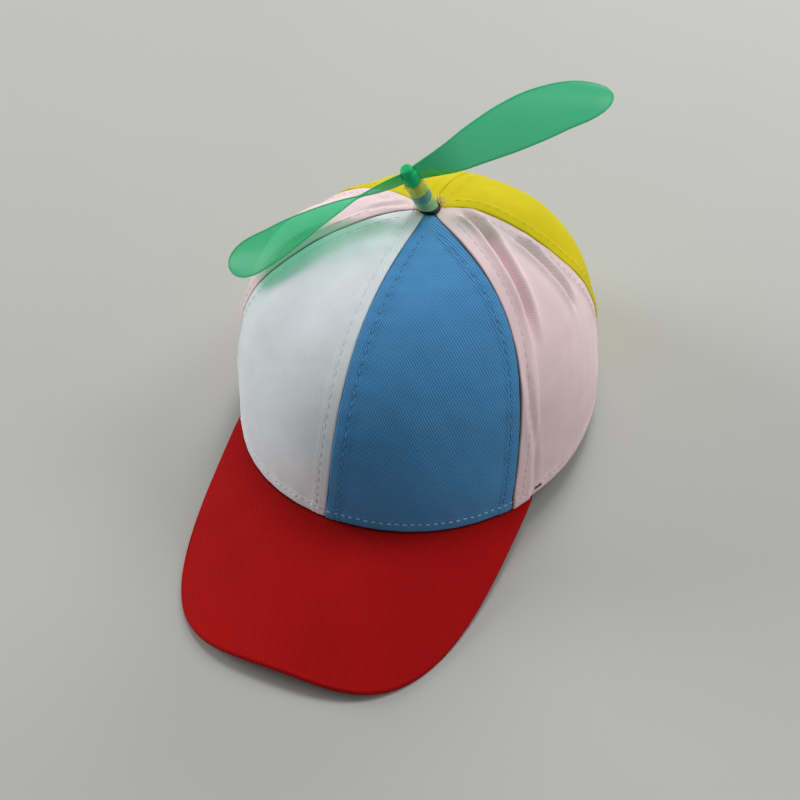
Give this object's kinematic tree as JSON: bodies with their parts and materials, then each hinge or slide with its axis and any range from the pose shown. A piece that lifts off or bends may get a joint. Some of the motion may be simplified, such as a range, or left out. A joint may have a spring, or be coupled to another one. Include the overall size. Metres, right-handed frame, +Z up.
{
  "type": "peaked cap with a propeller (propeller beanie)",
  "caption": "Soft panelled cap with a stiff sloping peak, and a twisted-blade propeller that turns freely on a short leaning post at the crown's top.",
  "frame": {"origin": "on the resting surface, under the middle of the whole outline", "axes": "+Z up, the peak points to -Y, +X to the right as seen from in front"},
  "size_m": [0.16, 0.2522, 0.1494],
  "materials": {
    "twill_white": "cotton twill, matt",
    "twill_blue": "cotton twill, matt",
    "twill_pink": "cotton twill, matt",
    "twill_yellow": "cotton twill, matt",
    "twill_red": "cotton twill over a stiff board, matt",
    "plastic_black": "moulded, matt",
    "tube_green": "extruded soft tube, milky",
    "tube_blue": "extruded soft tube, milky",
    "tube_yellow": "extruded soft tube, milky",
    "pin_plastic": "plain moulded pin",
    "propeller_green": "moulded polypropylene, thin and translucent"
  },
  "bodies": {
    "cap": {"panel_front_left": "twill_white", "panel_front_right": "twill_blue", "panel_side_left": "twill_pink", "panel_side_right": "twill_pink", "panel_back_left": "twill_yellow", "panel_back_right": "twill_yellow", "peak": "twill_red", "base_ring": "plastic_black", "sleeve_green": "tube_green", "sleeve_blue": "tube_blue", "sleeve_yellow": "tube_yellow", "post_pin": "pin_plastic"},
    "propeller": {"propeller": "propeller_green"}
  },
  "joints": [
    {"name": "propeller_spin", "type": "hinge", "parent": "cap", "child": "propeller", "pos_m": [-0.00419, 0.04127, 0.11941], "axis": [-0.2168, -0.3257, 0.9203], "continuous": true}
  ]
}
